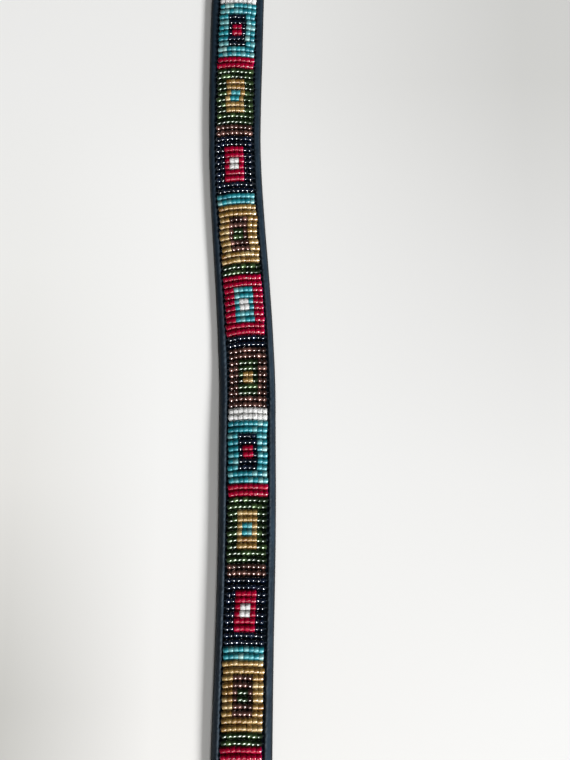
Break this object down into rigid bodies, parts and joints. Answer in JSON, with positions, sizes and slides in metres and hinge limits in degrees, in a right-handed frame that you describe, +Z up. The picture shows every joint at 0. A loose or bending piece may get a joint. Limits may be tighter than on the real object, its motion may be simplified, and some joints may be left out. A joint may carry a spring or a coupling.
{
  "type": "beaded belt",
  "caption": "Narrow leather belt with rolled margins, a sewn band of coloured glass seed beads along its middle, and a plain prong buckle in its turned-back end.",
  "frame": {"origin": "the middle of the belt's outline, on the surface that it lies on", "axes": "+Y along the belt from the buckle to the tip, +Z up out of the beaded face, +X across the belt"},
  "size_m": [0.037, 0.9928, 0.0075],
  "materials": {
    "leather": "smooth navy leather with rolled margins",
    "beads": "glossy glass seed beads in several colours",
    "nickel": "satin nickel plate",
    "white_glass": "opaque white glass",
    "turquoise_glass": "lustred turquoise glass",
    "red_glass": "glossy deep red glass",
    "green_glass": "dark green metallic glass",
    "gold_glass": "silver-lined gold glass",
    "brown_glass": "bronze-brown metallic glass",
    "navy_glass": "glossy navy glass",
    "thread": "waxed navy sewing thread"
  },
  "bodies": {
    "root": {"strap": "leather", "bead_panel": "beads", "buckle": "nickel"}
  },
  "joints": []
}
